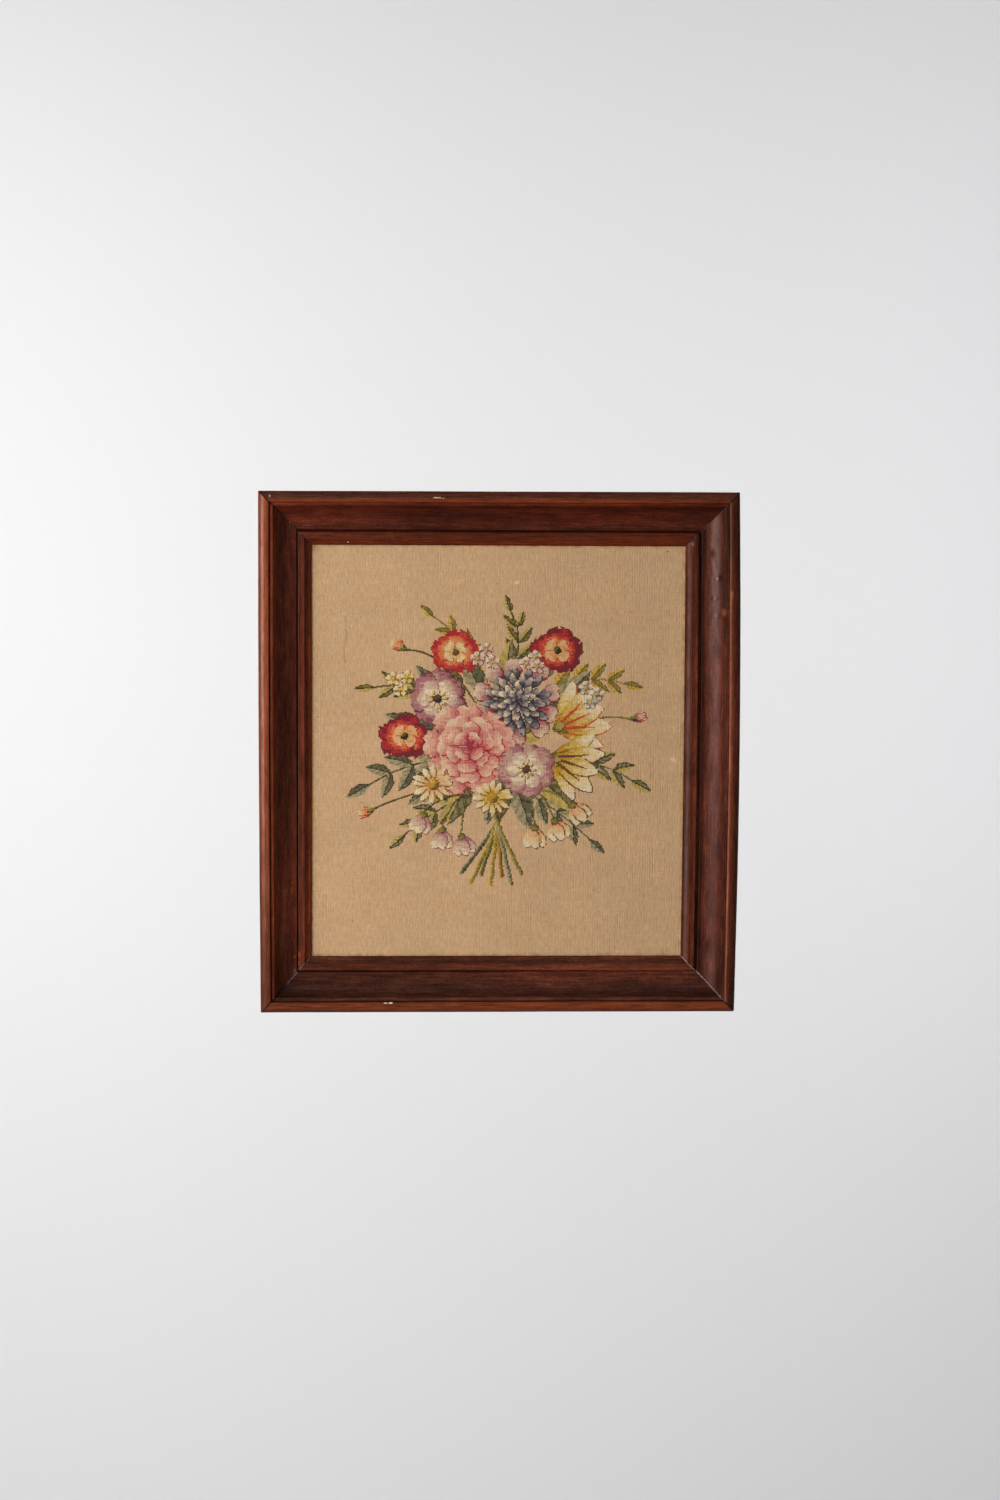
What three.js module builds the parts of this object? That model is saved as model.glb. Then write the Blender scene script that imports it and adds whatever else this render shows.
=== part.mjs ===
// A woven wool tapestry in a mitred hardwood frame with a narrow inner slip.
// Millimetres, +Z up. The cloth faces -Y, and the flat back of the frame lies in the plane y = 0.
// The origin is on the back of the top rail, half way along it, where the frame bears on the wall.
import * as THREE from "three";

// Outer size of the frame, and how far each member's seat lies from its neighbour
const FRAME_WIDTH = 432;
const FRAME_HEIGHT = 469;
const SEAT_GAP = 0.3;
const ORIGIN_BELOW_TOP = 14;

// Outer moulding. "Across" is measured inwards from the outer edge, "high" forwards from the back.
const RAIL_HIGH = 28;
const BEAD_ROUND = 6.6;
const BEAD_INNER_ROUND = 8;
const BEAD_WIDE = 10;
const QUIRK_WIDE = 0.9;
const QUIRK_FLOOR = 24.7;
const QUIRK_SIDE_LEAN = 0.15;
const FILLET_HIGH = 25.4;
const FILLET_WIDE = 2.5;
const COVE_FROM = { across: 13.7, high: 25.2 };
const COVE_TO = { across: 34, high: 13.3 };
const COVE_END_SLOPE = 2;
const LIP_ROUND = 0.5;
const REBATE_HIGH = 10.2;
const REBATE_FROM = 27;

// Inner slip, with a tongue under the rail's lip and a rebate of its own for the cloth. The four slips sit
// a little to the left in the rails, so the groove round them is wider on the right.
const SLIP_SHIFT = 1;
const GROOVE_WIDE = 1.6;
const SLIP_HIGH = 14.5;
const SLIP_SHOULDER_ROUND = 1.2;
const SLIP_FACE_TO = 42.1;
const SIGHT_HOLLOW_FROM = { across: 42.3, high: 14.3 };
const SIGHT_HOLLOW_TO = { across: 47.9, high: 10.9 };
const SIGHT_HOLLOW_END_SLOPE = 4;
const SIGHT_EDGE = 48.2;
const SIGHT_LIP_ROUND = 0.3;
const SIGHT_LIP_BACK = 9.6;
const SLIP_REBATE_FROM = 37.6;
const SLIP_BACK = 1.5;

// Cloth: warp ribs stand up and down the whole height
const CLOTH_THICK = 2;
const CLOTH_EDGE_GAP = 0.5;
const RIB_PITCH = 2.25;
const RIB_DEEP = 0.45;
const ROUNDED_RIB = [
  { along: 0, rise: 0 },
  { along: 0.22, rise: 0.8 },
  { along: 0.5, rise: 1 },
  { along: 0.78, rise: 0.8 },
];
const PLAIN_RIB = [
  { along: 0, rise: 0 },
  { along: 0.5, rise: 1 },
];

// How many straight steps each rounded stretch of the mouldings is made of
const STEPS = { bead: 12, beadInner: 4, cove: 18, shoulder: 4, sightHollow: 8 };

const WOOD = { color: 0x54291b, roughness: 0.45, metalness: 0 };
const SLIP_WOOD = { color: 0x5c2c1c, roughness: 0.45, metalness: 0 };
const WOOL = { color: 0xb8956b, roughness: 0.95, metalness: 0 };

// Points on a stretch of an ellipse, from one angle to the other, in degrees
function ellipse(centre, radii, from, to, steps) {
  const points = [];
  for (let i = 0; i <= steps; i += 1) {
    const angle = THREE.MathUtils.degToRad(from + ((to - from) * i) / steps);
    points.push([centre[0] + radii[0] * Math.cos(angle), centre[1] + radii[1] * Math.sin(angle)]);
  }
  return points;
}

// A hollow is one arc between two points that ends at a given slope, in degrees. They set its radius.
function hollow(from, to, endSlope, steps) {
  const wide = to.across - from.across;
  const deep = from.high - to.high;
  const last = THREE.MathUtils.degToRad(endSlope);
  const first = 2 * Math.atan2(deep, wide) - last;
  const radius = wide / (Math.sin(first) - Math.sin(last));
  const points = [];
  for (let i = 0; i <= steps; i += 1) {
    const slope = first + ((last - first) * i) / steps;
    points.push([
      to.across - radius * (Math.sin(slope) - Math.sin(last)),
      to.high + radius * (Math.cos(last) - Math.cos(slope)),
    ]);
  }
  return points;
}

function railSection() {
  const quirkEnd = BEAD_WIDE + QUIRK_WIDE;
  const lipNose = COVE_TO.across + LIP_ROUND;
  const outer = BEAD_ROUND;
  const inner = BEAD_INNER_ROUND;
  const beadEnd = THREE.MathUtils.radToDeg(Math.acos((BEAD_WIDE - outer) / inner));
  const stepAngle = (90 - beadEnd) / STEPS.beadInner;
  return [
    [0, 0],
    ...ellipse([outer, RAIL_HIGH - outer], [outer, outer], 180, 90, STEPS.bead),
    ...ellipse([outer, RAIL_HIGH - inner], [inner, inner], 90 - stepAngle, beadEnd, STEPS.beadInner - 1),
    [BEAD_WIDE + QUIRK_SIDE_LEAN, QUIRK_FLOOR],
    [quirkEnd - QUIRK_SIDE_LEAN, QUIRK_FLOOR],
    [quirkEnd, FILLET_HIGH],
    [quirkEnd + FILLET_WIDE, FILLET_HIGH],
    ...hollow(COVE_FROM, COVE_TO, COVE_END_SLOPE, STEPS.cove),
    [lipNose, COVE_TO.high - LIP_ROUND],
    [lipNose, REBATE_HIGH],
    [REBATE_FROM, REBATE_HIGH],
    [REBATE_FROM, 0],
  ];
}

function slipSection() {
  const tongueFrom = REBATE_FROM + SEAT_GAP + SLIP_SHIFT;
  const tongueHigh = REBATE_HIGH - SEAT_GAP;
  const shoulder = COVE_TO.across + LIP_ROUND + GROOVE_WIDE;
  const round = SLIP_SHOULDER_ROUND;
  return [
    [tongueFrom, SLIP_BACK],
    [tongueFrom, tongueHigh],
    [shoulder, tongueHigh],
    ...ellipse([shoulder + round, SLIP_HIGH - round], [round, round], 180, 90, STEPS.shoulder),
    [SLIP_FACE_TO, SLIP_HIGH],
    ...hollow(SIGHT_HOLLOW_FROM, SIGHT_HOLLOW_TO, SIGHT_HOLLOW_END_SLOPE, STEPS.sightHollow),
    [SIGHT_EDGE, SIGHT_HOLLOW_TO.high - SIGHT_LIP_ROUND],
    [SIGHT_EDGE, SIGHT_LIP_BACK],
    [SLIP_REBATE_FROM, SIGHT_LIP_BACK],
    [SLIP_REBATE_FROM, SLIP_BACK],
  ];
}

// A bar of the given section, cut at both ends to a 45 degree mitre. Its outer edge lies along X at z = 0,
// it reaches down towards the middle of the frame, and its front faces -Y.
function mitredBar(section, length) {
  const shape = new THREE.Shape(section.map(([across, high]) => new THREE.Vector2(across, high)));
  const bar = new THREE.ExtrudeGeometry(shape, { depth: 1, steps: 1, bevelEnabled: false });
  const place = bar.attributes.position;
  const cutBack = SEAT_GAP * Math.SQRT1_2;
  for (let i = 0; i < place.count; i += 1) {
    const across = place.getX(i);
    const high = place.getY(i);
    const end = place.getZ(i) < 0.5 ? 1 : -1;
    place.setXYZ(i, end * (length / 2 - across - cutBack), -high, -across);
  }
  bar.computeVertexNormals();
  return bar;
}

// The sides of the frame: where the outer edge lies from the middle, the turn about Y, and the length
const SIDES = [
  { side: "top", x: 0, z: FRAME_HEIGHT / 2, turn: 0, length: FRAME_WIDTH },
  { side: "bottom", x: 0, z: -FRAME_HEIGHT / 2, turn: 180, length: FRAME_WIDTH },
  { side: "left", x: -FRAME_WIDTH / 2, z: 0, turn: -90, length: FRAME_HEIGHT },
  { side: "right", x: FRAME_WIDTH / 2, z: 0, turn: 90, length: FRAME_HEIGHT },
];

function fourBars(name, section, look) {
  const bars = new THREE.Group();
  for (const { side, x, z, turn, length } of SIDES) {
    const bar = new THREE.Mesh(mitredBar(section, length), new THREE.MeshStandardMaterial(look));
    bar.name = `${name}_${side}`;
    bar.position.set(x, 0, z);
    bar.rotation.y = THREE.MathUtils.degToRad(turn);
    bars.add(bar);
  }
  return bars;
}

// One face of the cloth's section, rib by rib. A rib's points are shares of its pitch and of its height.
function ribLine(ribs, width, profile, crest, deep) {
  const points = [];
  for (let rib = 0; rib < ribs; rib += 1) {
    for (const { along, rise } of profile) {
      points.push([-width / 2 + (rib + along) * RIB_PITCH, crest + deep * (1 - rise)]);
    }
  }
  return points;
}

function tapestry() {
  const edge = SLIP_REBATE_FROM + CLOTH_EDGE_GAP;
  const ribs = Math.floor((FRAME_WIDTH - 2 * edge) / RIB_PITCH);
  const width = ribs * RIB_PITCH;
  const height = FRAME_HEIGHT - 2 * edge;
  const front = -(SIGHT_LIP_BACK - SEAT_GAP);
  const back = front + CLOTH_THICK;
  const frontLine = ribLine(ribs, width, ROUNDED_RIB, front, RIB_DEEP);
  const backLine = ribLine(ribs, width, PLAIN_RIB, back, -RIB_DEEP).reverse();
  const rightEdge = [
    [width / 2, front + RIB_DEEP],
    [width / 2, back - RIB_DEEP],
  ];
  const outline = [...frontLine, ...rightEdge, ...backLine];
  const shape = new THREE.Shape(outline.map(([x, y]) => new THREE.Vector2(x, y)));
  const sheet = new THREE.ExtrudeGeometry(shape, { depth: height, steps: 1, bevelEnabled: false });
  sheet.translate(0, 0, -height / 2);
  const cloth = new THREE.Mesh(sheet, new THREE.MeshStandardMaterial(WOOL));
  cloth.name = "tapestry";
  return cloth;
}

const inside = new THREE.Group();
inside.position.x = -SLIP_SHIFT;
inside.add(fourBars("slip", slipSection(), SLIP_WOOD));
inside.add(tapestry());

const framed = new THREE.Group();
framed.position.z = ORIGIN_BELOW_TOP - FRAME_HEIGHT / 2;
framed.add(fourBars("rail", railSection(), WOOD));
framed.add(inside);

export default framed;
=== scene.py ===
import math

import bpy
import numpy as np
from mathutils import Euler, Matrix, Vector, noise


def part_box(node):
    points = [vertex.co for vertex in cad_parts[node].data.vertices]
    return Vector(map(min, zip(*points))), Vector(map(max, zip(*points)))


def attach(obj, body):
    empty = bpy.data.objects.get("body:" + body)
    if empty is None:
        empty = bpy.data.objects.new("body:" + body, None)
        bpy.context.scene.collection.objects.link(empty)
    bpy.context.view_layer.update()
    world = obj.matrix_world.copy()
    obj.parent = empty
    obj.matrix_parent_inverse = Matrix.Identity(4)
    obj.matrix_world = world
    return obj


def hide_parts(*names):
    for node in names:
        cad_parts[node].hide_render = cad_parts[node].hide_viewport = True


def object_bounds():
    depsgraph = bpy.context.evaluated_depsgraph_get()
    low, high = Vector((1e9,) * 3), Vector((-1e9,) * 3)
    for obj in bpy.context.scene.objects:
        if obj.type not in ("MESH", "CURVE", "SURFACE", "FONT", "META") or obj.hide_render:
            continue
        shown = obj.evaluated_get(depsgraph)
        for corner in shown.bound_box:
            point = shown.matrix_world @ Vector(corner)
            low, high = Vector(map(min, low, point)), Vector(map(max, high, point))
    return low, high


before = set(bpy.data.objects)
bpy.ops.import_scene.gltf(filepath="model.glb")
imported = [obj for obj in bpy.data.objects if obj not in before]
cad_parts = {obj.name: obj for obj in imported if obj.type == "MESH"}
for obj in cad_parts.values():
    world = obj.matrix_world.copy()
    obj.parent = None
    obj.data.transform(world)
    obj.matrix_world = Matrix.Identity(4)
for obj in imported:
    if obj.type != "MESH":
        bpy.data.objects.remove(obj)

cad_low, cad_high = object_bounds()

# RAILS
# Four lengths of one stained hardwood moulding, mitred at the corners: a rounded bead on the outside, a thin
# quirk, a narrow fillet and a deep cove. A rebate behind the cove takes the slip.
RAIL_HIGH = 0.028
BEAD_ROUND = 0.0066
BEAD_INNER_ROUND = 0.0080
BEAD_INNER_FROM = 82
BEAD_WIDE = 0.0100
QUIRK_WIDE = 0.0009
QUIRK_FLOOR = {"top": 0.0252, "right": 0.0248, "bottom": 0.0248, "left": 0.0247}
QUIRK_SIDE_LEAN = 0.00015
FILLET_HIGH = 0.0254
FILLET_WIDE = 0.0025
COVE_FROM = (0.0137, 0.0252)
COVE_TO = (0.0340, 0.0133)
COVE_END_SLOPE = 2
LIP_ROUND = 0.0005
REBATE_HIGH = 0.0102
REBATE_FROM = 0.027
FRONT_FROM = 0.0107
MITRE_CUT = 0.0003 * math.sqrt(0.5)
# The old wood is a little wavy, with eased corners, and it is rubbed only where hands and cloths reach it
WAVE = 0.00010
WAVE_SPAN = (0.05, 0.012)
FLAT_BACK_TO = 0.001
RUBBED_FROM = 0.010
ARRIS_EASE = 0.00035
STRAIGHT_BELOW = -0.9
SHARP_ANGLE = 38
OUTER_SIDE_AT = (0.008, 0.015)
# How many steps each curve is cut into
STEPS = {"bead": 20, "bead inside": 6, "cove": 30, "arris": 3, "shoulder": 8, "sight hollow": 12}


def linear(code):
    """The linear colour of an sRGB hex value, with alpha 1."""
    parts = [int(code[i : i + 2], 16) / 255 for i in (1, 3, 5)]
    return [x / 12.92 if x <= 0.04045 else ((x + 0.055) / 1.055) ** 2.4 for x in parts] + [1.0]


def add(tree, kind, inputs=None, out=0, **settings):
    """Adds a shader node and returns one of its outputs. Each input is a plain value or another's output."""
    node = tree.nodes.new("ShaderNode" + kind)
    for name, value in settings.items():
        setattr(node, name, value)
    for socket, value in (inputs or {}).items():
        if isinstance(value, bpy.types.NodeSocket):
            tree.links.new(value, node.inputs[socket])
        else:
            node.inputs[socket].default_value = value
    return node.outputs[out] if node.outputs else None


def node_tree(owner):
    """The node tree of a material or a world, emptied."""
    owner.use_nodes = True
    owner.node_tree.nodes.clear()
    return owner.node_tree


def metres(row, count):
    """A row of a table, with its first few numbers turned from millimetres into metres."""
    return (*(number / 1000 for number in row[:count]), *row[count:])


def put(name, data):
    """A new object in the scene."""
    thing = bpy.data.objects.new(name, data)
    bpy.context.collection.objects.link(thing)
    return thing


def drift(a, b, span, seed):
    """Slow noise over two measures, about 0, which changes within the span of each."""
    return noise.noise(Vector((a / span[0], b / span[1], seed)))


def arc(centre, radius, start, end, steps):
    """Points on a stretch of a circle between two angles in degrees."""
    turn = np.radians(np.linspace(start, end, steps + 1))
    return [(centre[0] + radius * math.cos(t), centre[1] + radius * math.sin(t)) for t in turn]


def bend(start, through, end, steps):
    """Points on a smooth bend between two ends, pulled towards a third point."""
    t = np.linspace(0, 1, steps)[:, None]
    return (1 - t) ** 2 * np.array(start) + 2 * t * (1 - t) * np.array(through) + t**2 * np.array(end)


def cove(start, end, end_slope, steps):
    """A hollow that is one arc and ends at a given slope, in degrees. Its two ends set its radius."""
    wide, deep = end[0] - start[0], start[1] - end[1]
    last = math.radians(end_slope)
    first = 2 * math.atan2(deep, wide) - last
    radius = wide / (math.sin(first) - math.sin(last))
    return [
        (end[0] - radius * (math.sin(t) - math.sin(last)), end[1] + radius * (math.cos(last) - math.cos(t)))
        for t in np.linspace(first, last, steps + 1)
    ]


def eased(points):
    """Rounds every corner of a closed section a little, as old varnish and handling do."""
    points = np.array(points)
    out = []
    for before, here, after in zip(np.roll(points, 1, 0), points, np.roll(points, -1, 0)):
        back, ahead = before - here, after - here
        long_back, long_ahead = np.hypot(*back), np.hypot(*ahead)
        if back @ ahead / (long_back * long_ahead) <= STRAIGHT_BELOW:
            out.append(here)
            continue
        start = here + back / long_back * min(ARRIS_EASE, long_back * 0.4)
        end = here + ahead / long_ahead * min(ARRIS_EASE, long_ahead * 0.4)
        out.extend(bend(start, here, end, STEPS["arris"] + 1))
    return np.array(out)


def rail_section(side):
    """The section of a rail: how far in from the outer edge and forwards from the back each point lies."""
    quirk_end = BEAD_WIDE + QUIRK_WIDE
    nose = COVE_TO[0] + LIP_ROUND
    bead_centre = (BEAD_ROUND, RAIL_HIGH - BEAD_ROUND)
    inner_centre = (BEAD_ROUND, RAIL_HIGH - BEAD_INNER_ROUND)
    bead_end = math.degrees(math.acos((BEAD_WIDE - BEAD_ROUND) / BEAD_INNER_ROUND))
    corners = [
        (0, 0),
        *((0, high) for high in OUTER_SIDE_AT),
        *arc(bead_centre, BEAD_ROUND, 180, 90, STEPS["bead"]),
        *arc(inner_centre, BEAD_INNER_ROUND, BEAD_INNER_FROM, bead_end, STEPS["bead inside"]),
        (BEAD_WIDE + QUIRK_SIDE_LEAN, QUIRK_FLOOR[side]),
        (quirk_end - QUIRK_SIDE_LEAN, QUIRK_FLOOR[side]),
        (quirk_end, FILLET_HIGH),
        (quirk_end + FILLET_WIDE, FILLET_HIGH),
        *cove(COVE_FROM, COVE_TO, COVE_END_SLOPE, STEPS["cove"]),
        (nose, COVE_TO[1] - LIP_ROUND),
        (nose, REBATE_HIGH),
        (REBATE_FROM, REBATE_HIGH),
        (REBATE_FROM, 0),
    ]
    return eased(corners)


# Each side of the frame: its direction along, its direction inwards, both in X and Z
SIDES = {
    "top": ((1, 0), (0, -1)),
    "right": ((0, -1), (-1, 0)),
    "bottom": ((-1, 0), (0, 1)),
    "left": ((0, 1), (1, 0)),
}
frame_wide = cad_high.x - cad_low.x
frame_high = cad_high.z - cad_low.z
middle_x = (cad_low.x + cad_high.x) / 2
middle_z = (cad_low.z + cad_high.z) / 2
frame_back = cad_high.y

# The finish from the outer bead inwards: how far across each part lies, in millimetres, then for the top,
# right, bottom and left how light it is, its warmth, from dusty grey below 0 to orange, and how far it is
# rubbed through. The lightness is partly the stain and partly painted light and shade for how the window
# light falls on each side, and the grey is partly a painted sheen of reflections
FINISH_AND_PAINTED_LIGHT = {
    "bead outside": (1.5, (1.15, -0.40, 0.0), (1.60, -1.00, 0.0), (0.64, 0.20, 0.1), (0.72, 0.10, 0.4)),
    "bead crest": (5.2, (0.75, -1.80, 0.0), (0.75, -0.90, 0.1), (0.72, 0.10, 0.5), (1.10, -0.35, 0.7)),
    "bead inside": (8.0, (1.00, -0.10, 0.4), (0.75, -0.60, 0.2), (1.20, -0.10, 0.5), (3.20, -0.70, 0.5)),
    "bead foot": (10.0, (1.30, 0.25, 0.3), (1.95, -1.10, 0.3), (1.35, -1.40, 0.1), (3.10, -0.20, 0.4)),
    "fillet": (12.2, (1.20, 0.20, 0.0), (0.56, -0.60, 0.0), (1.25, -1.00, 0.0), (1.48, 0.55, 0.2)),
    "cove edge": (14.2, (0.57, 0.30, 0.0), (0.48, -0.35, 0.0), (0.47, -1.40, 0.0), (1.45, 0.10, 0.3)),
    "cove upper": (19.0, (0.67, 0.25, 0.0), (0.89, 0.15, 0.0), (0.66, -1.25, 0.0), (1.15, -0.65, 0.0)),
    "cove middle": (24.0, (0.74, 0.20, 0.0), (1.04, 0.00, 0.0), (0.73, -1.15, 0.0), (0.91, -0.75, 0.0)),
    "cove lower": (29.0, (0.75, -0.45, 0.0), (1.08, -0.60, 0.0), (0.86, -1.20, 0.0), (0.77, -0.55, 0.0)),
    "cove foot": (33.0, (0.74, -0.40, 0.0), (0.37, -0.10, 0.0), (0.70, -0.80, 0.0), (0.90, -0.30, 0.0)),
    "slip shoulder": (36.5, (0.90, -0.30, 0.1), (1.35, -0.80, 0.0), (1.46, -0.90, 0.1), (0.64, 0.20, 0.1)),
    "slip face": (40.4, (0.92, 0.00, 0.2), (0.52, -0.90, 0.0), (0.86, -1.05, 0.1), (1.16, 0.10, 0.2)),
    "slip arris": (42.3, (0.78, 0.15, 0.3), (0.58, -0.40, 0.2), (0.72, -0.90, 0.2), (1.20, 0.05, 0.4)),
    "sight hollow": (44.5, (1.00, 0.30, 0.0), (0.62, -0.30, 0.0), (0.75, -1.15, 0.0), (1.40, -0.25, 0.0)),
    "sight edge": (47.5, (1.03, 0.60, 0.1), (0.90, 0.20, 0.1), (0.98, -0.70, 0.1), (1.58, 0.30, 0.2)),
}
VARNISH = {"top": 0.05, "right": 0.15, "bottom": 0.12, "left": 0.20}
RUBBED_SHINE = 0.30

# Soft patches where a piece is lighter, redder, greyer or glossier than the rest of it, or darker. Many are
# the wood's own, and some are painted light and shade, marked below. Each row, in millimetres: along the
# piece from its middle, across the moulding and its reach both ways. Then how light, warm and glossy it is.
PATCHES = {
    "rail_top": [
        (-170, 4, 70, 4, 0.90, -0.7, 1),
        (-155, 23, 60, 14, 1.35, 0, 1),
        (-60, 25, 50, 10, 0.72, 0, 1),
        (75, 20, 35, 12, 1.20, 0, 1),
        (185, 22, 35, 14, 0.66, -0.3, 1),
        # Lighter along the quirk, which thins its painted shade, then a painted shadow under the fillet's
        # edge
        (0, 10.5, 400, 0.8, 1.60, 0, 1),
        (-50, 14, 200, 1, 0.75, 0, 1),
    ],
    "rail_right": [
        (-205, 8, 65, 7.5, 0.40, -0.6, 0.5),
        (-175, 20.5, 55, 6, 1.05, 0, 1.7),
        (-185, 24.5, 60, 8, 0.85, -0.4, 1),
        (130, 22, 100, 12, 0.95, 0, 0.5),
        (210, 16, 30, 20, 0.60, 0, 0.6),
        (-180, 24.3, 5, 2.5, 0.45, -0.3, 0.2),
        (-158, 18, 2.5, 2, 0.45, 0, 0.2),
        (178, 25.5, 10, 4, 0.50, -0.3, 0.2),
        # Painted light along the quirk, where the window lights the bead's inner side
        (0, 10.5, 400, 0.9, 1.70, -0.4, 1),
        (0, 34.2, 400, 0.8, 1.00, 0, 0.2),
    ],
    "rail_bottom": [
        (200, 20, 45, 15, 0.42, 0, 1),
        (90, 21, 60, 14, 0.80, 0, 1),
        (-35, 25, 45, 11, 1.60, 0.2, 1),
        # Painted light in the groove, where it would lie in shadow
        (-150, 34.2, 90, 1.2, 2.00, 0, 1),
    ],
    "rail_left": [
        (-215, 6, 120, 9, 0.38, -0.6, 0.1),
        # A painted sheen, lighter and greyer, on the upper bead, where its varnish is also glossier
        (130, 4.8, 110, 2.8, 1.20, -0.3, 1.5),
        (30, 24, 50, 9, 0.76, 0, 1),
        (-140, 24, 45, 11, 1.80, 0.2, 1),
    ],
    "slip_top": [(-10, 38, 70, 6, 0.80, 0, 1)],
    # The second row is painted light in the groove, where it would lie in shadow
    "slip_right": [(40, 37.5, 90, 3, 1.60, 0, 1), (0, 35, 400, 1.2, 2.30, 0, 1)],
    "slip_bottom": [
        # The first row is painted light in the groove, where it would lie in shadow
        (-150, 35.2, 90, 1.6, 2.20, 0, 1),
        (-100, 37, 80, 3, 1.50, 0, 1),
        (120, 38.5, 80, 6, 0.72, 0, 1),
    ],
    "slip_left": [
        # The first row is painted shade on the shoulder, where the window light catches it, with less gloss
        (0, 36.3, 400, 0.7, 0.60, 0, 0.1),
        (150, 45, 70, 4, 0.75, 0, 1),
        (-150, 45, 90, 4.5, 1.20, 0, 1),
    ],
}

# The old frame is a little out of true. Lines of the frame, as shares of its half width, and how far each has
# strayed to the right or up, in millimetres: in the middle, its slope and its bow.
TRUE_LINES = (-1.0, -0.785, 0.785, 1.0)
STRAYED_RIGHT = ((0.2, -0.25, 0.6), (-0.7, 0.5, 0.0), (1.2, 0.5, -0.9), (1.3, 0.0, -2.5))
STRAYED_UP = ((-1.3, 0.15, 0.0), (-0.2, 0.0, 0.0), (-0.2, 0.0, 0.0), (-0.7, 0.4, 0.0))

# How pale the painted highlight along the seam of each mitre shows, and how far in it starts: first the end
# towards the left or top
PALE_SEAM = {
    "top": ((0.0, 0.009), (0.15, 0.009)),
    "right": ((0.15, 0.009), (0.9, 0.009)),
    "bottom": ((0.9, 0.009), (0.45, 0.022)),
    "left": ((0.5, 0.022), (0.1, 0.009)),
}
SEAM_FADE = 0.004

# Knocks. Each row, in millimetres: along the rail from its middle, across it, size and depth.
KNOCKS = {
    "rail_right": [
        (-157, 20.5, 3, 0.7),
        (-180, 24, 3, 0.6),
        (-140, 22.8, 3.2, 0.6),
        (-124, 21.5, 3.6, 0.5),
        (176, 22.5, 5, 0.4),
    ],
    "rail_top": [(-54.5, 6.5, 3, 0.4)],
    "rail_bottom": [(98, 8, 3, 0.4)],
    "rail_left": [(-153, 6, 4.5, 0.4), (85, 6, 5, 0.3)],
}

# Chips to the bare wood, worn patches, soot and scuffs, with a few painted glints and a painted shade, marked
# below. Each row, in millimetres: along, across and its reach both ways. Then its colour, how well it covers
# and how soft its edge is.
MARKS = {
    "rail_top": [
        (-56.5, 6.2, 4.4, 0.8, "#dba585", 1, 0.5),
        (-51, 6.6, 1.6, 0.6, "#c98a68", 0.7, 0.5),
        (-205, 5, 1.2, 1.2, "#b5a8a8", 0.7, 0.5),
        (-172, 31, 6, 1.2, "#7c4636", 0.5, 1.2),
    ],
    "rail_bottom": [
        (101, 9.2, 2.2, 0.6, "#e4d6d0", 0.9, 0.5),
        (96.5, 9.4, 2, 0.7, "#efe4de", 1, 0.5),
    ],
    "rail_right": [
        (-127, 15, 4.5, 3.2, "#7d4024", 0.6, 0.5),
        (-143, 8.6, 4.5, 1.6, "#905434", 0.6, 0.5),
        (-131, 11, 0.7, 4.5, "#160c0c", 0.8, 0.5),
        # A painted shade on the side of a dent, then pale painted glints on the dents of the cove
        (-157, 18, 1.4, 1.6, "#1c1112", 0.7, 0.5),
        (-157, 21.2, 1.7, 2, "#a58a90", 0.6, 1.2),
        (-140, 22.8, 2.8, 1.8, "#967b82", 0.5, 1.2),
        (-124, 22.2, 2.4, 2.4, "#86696e", 0.4, 1.2),
        (195, 22.5, 7, 3.5, "#7d4034", 0.5, 1.2),
    ],
    "rail_left": [
        (-153, 5.8, 9, 1.2, "#a5623f", 0.35, 0.5),
        (-186, 31.8, 1.4, 1.2, "#8d3a28", 0.9, 0.5),
        (-199, 31.8, 3.6, 1.8, "#8b6a60", 0.5, 1.2),
        (-90, 20, 50, 2.2, "#5d2410", 0.5, 0.5),
    ],
    "slip_left": [
        (-184, 38.5, 3.4, 2.2, "#84301f", 0.9, 0.5),
        (-192, 39.2, 3, 1.8, "#7a3324", 0.7, 0.5),
    ],
    # Painted glints on the edges of the top and right slips
    "slip_top": [(-135, 45.8, 0.8, 0.8, "#e0cfc6", 0.8, 0.5)],
    "slip_right": [(-188, 41.8, 2.6, 1.2, "#a88488", 0.7, 1)],
}
MARK_DEEP = 0.5
MARK_EDGE = 1.8
RAGGED_BY = 1.6
RAGGED_SCALE = 700.0

# What each point of a bar knows: where it lies along and round the moulding, its stain with its painted light
# and shade, its gloss, how worn it is, its grime and painted shade in the hollows, how near its mitre is and
# how pale that mitre's painted highlight is. Each has its kind, field and output.
LAYERS = {
    "lay": ("FLOAT_VECTOR", "vector", "Vector"),
    "stain_and_painted_light": ("FLOAT_COLOR", "color", "Color"),
    "varnish": ("FLOAT", "value", "Fac"),
    "wear": ("FLOAT", "value", "Fac"),
    "grime_and_shade": ("FLOAT", "value", "Fac"),
    "joint": ("FLOAT", "value", "Fac"),
    "seam": ("FLOAT", "value", "Fac"),
}


def strayed(x, z):
    """Where a point of a true frame lies in this one."""
    u = (x - middle_x) / (frame_wide / 2)
    v = (z - middle_z) / (frame_high / 2)
    right = np.interp(u, TRUE_LINES, [at + slope * v + bow * v * v for at, slope, bow in STRAYED_RIGHT])
    up = np.interp(v, TRUE_LINES, [at + slope * u + bow * u * u for at, slope, bow in STRAYED_UP])
    return x + float(right) / 1000, z + float(up) / 1000


def girth_of(section):
    """How far round a section each of its points lies from the first."""
    return np.concatenate([[0], np.cumsum(np.hypot(*np.diff(section, axis=0).T))])


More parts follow.
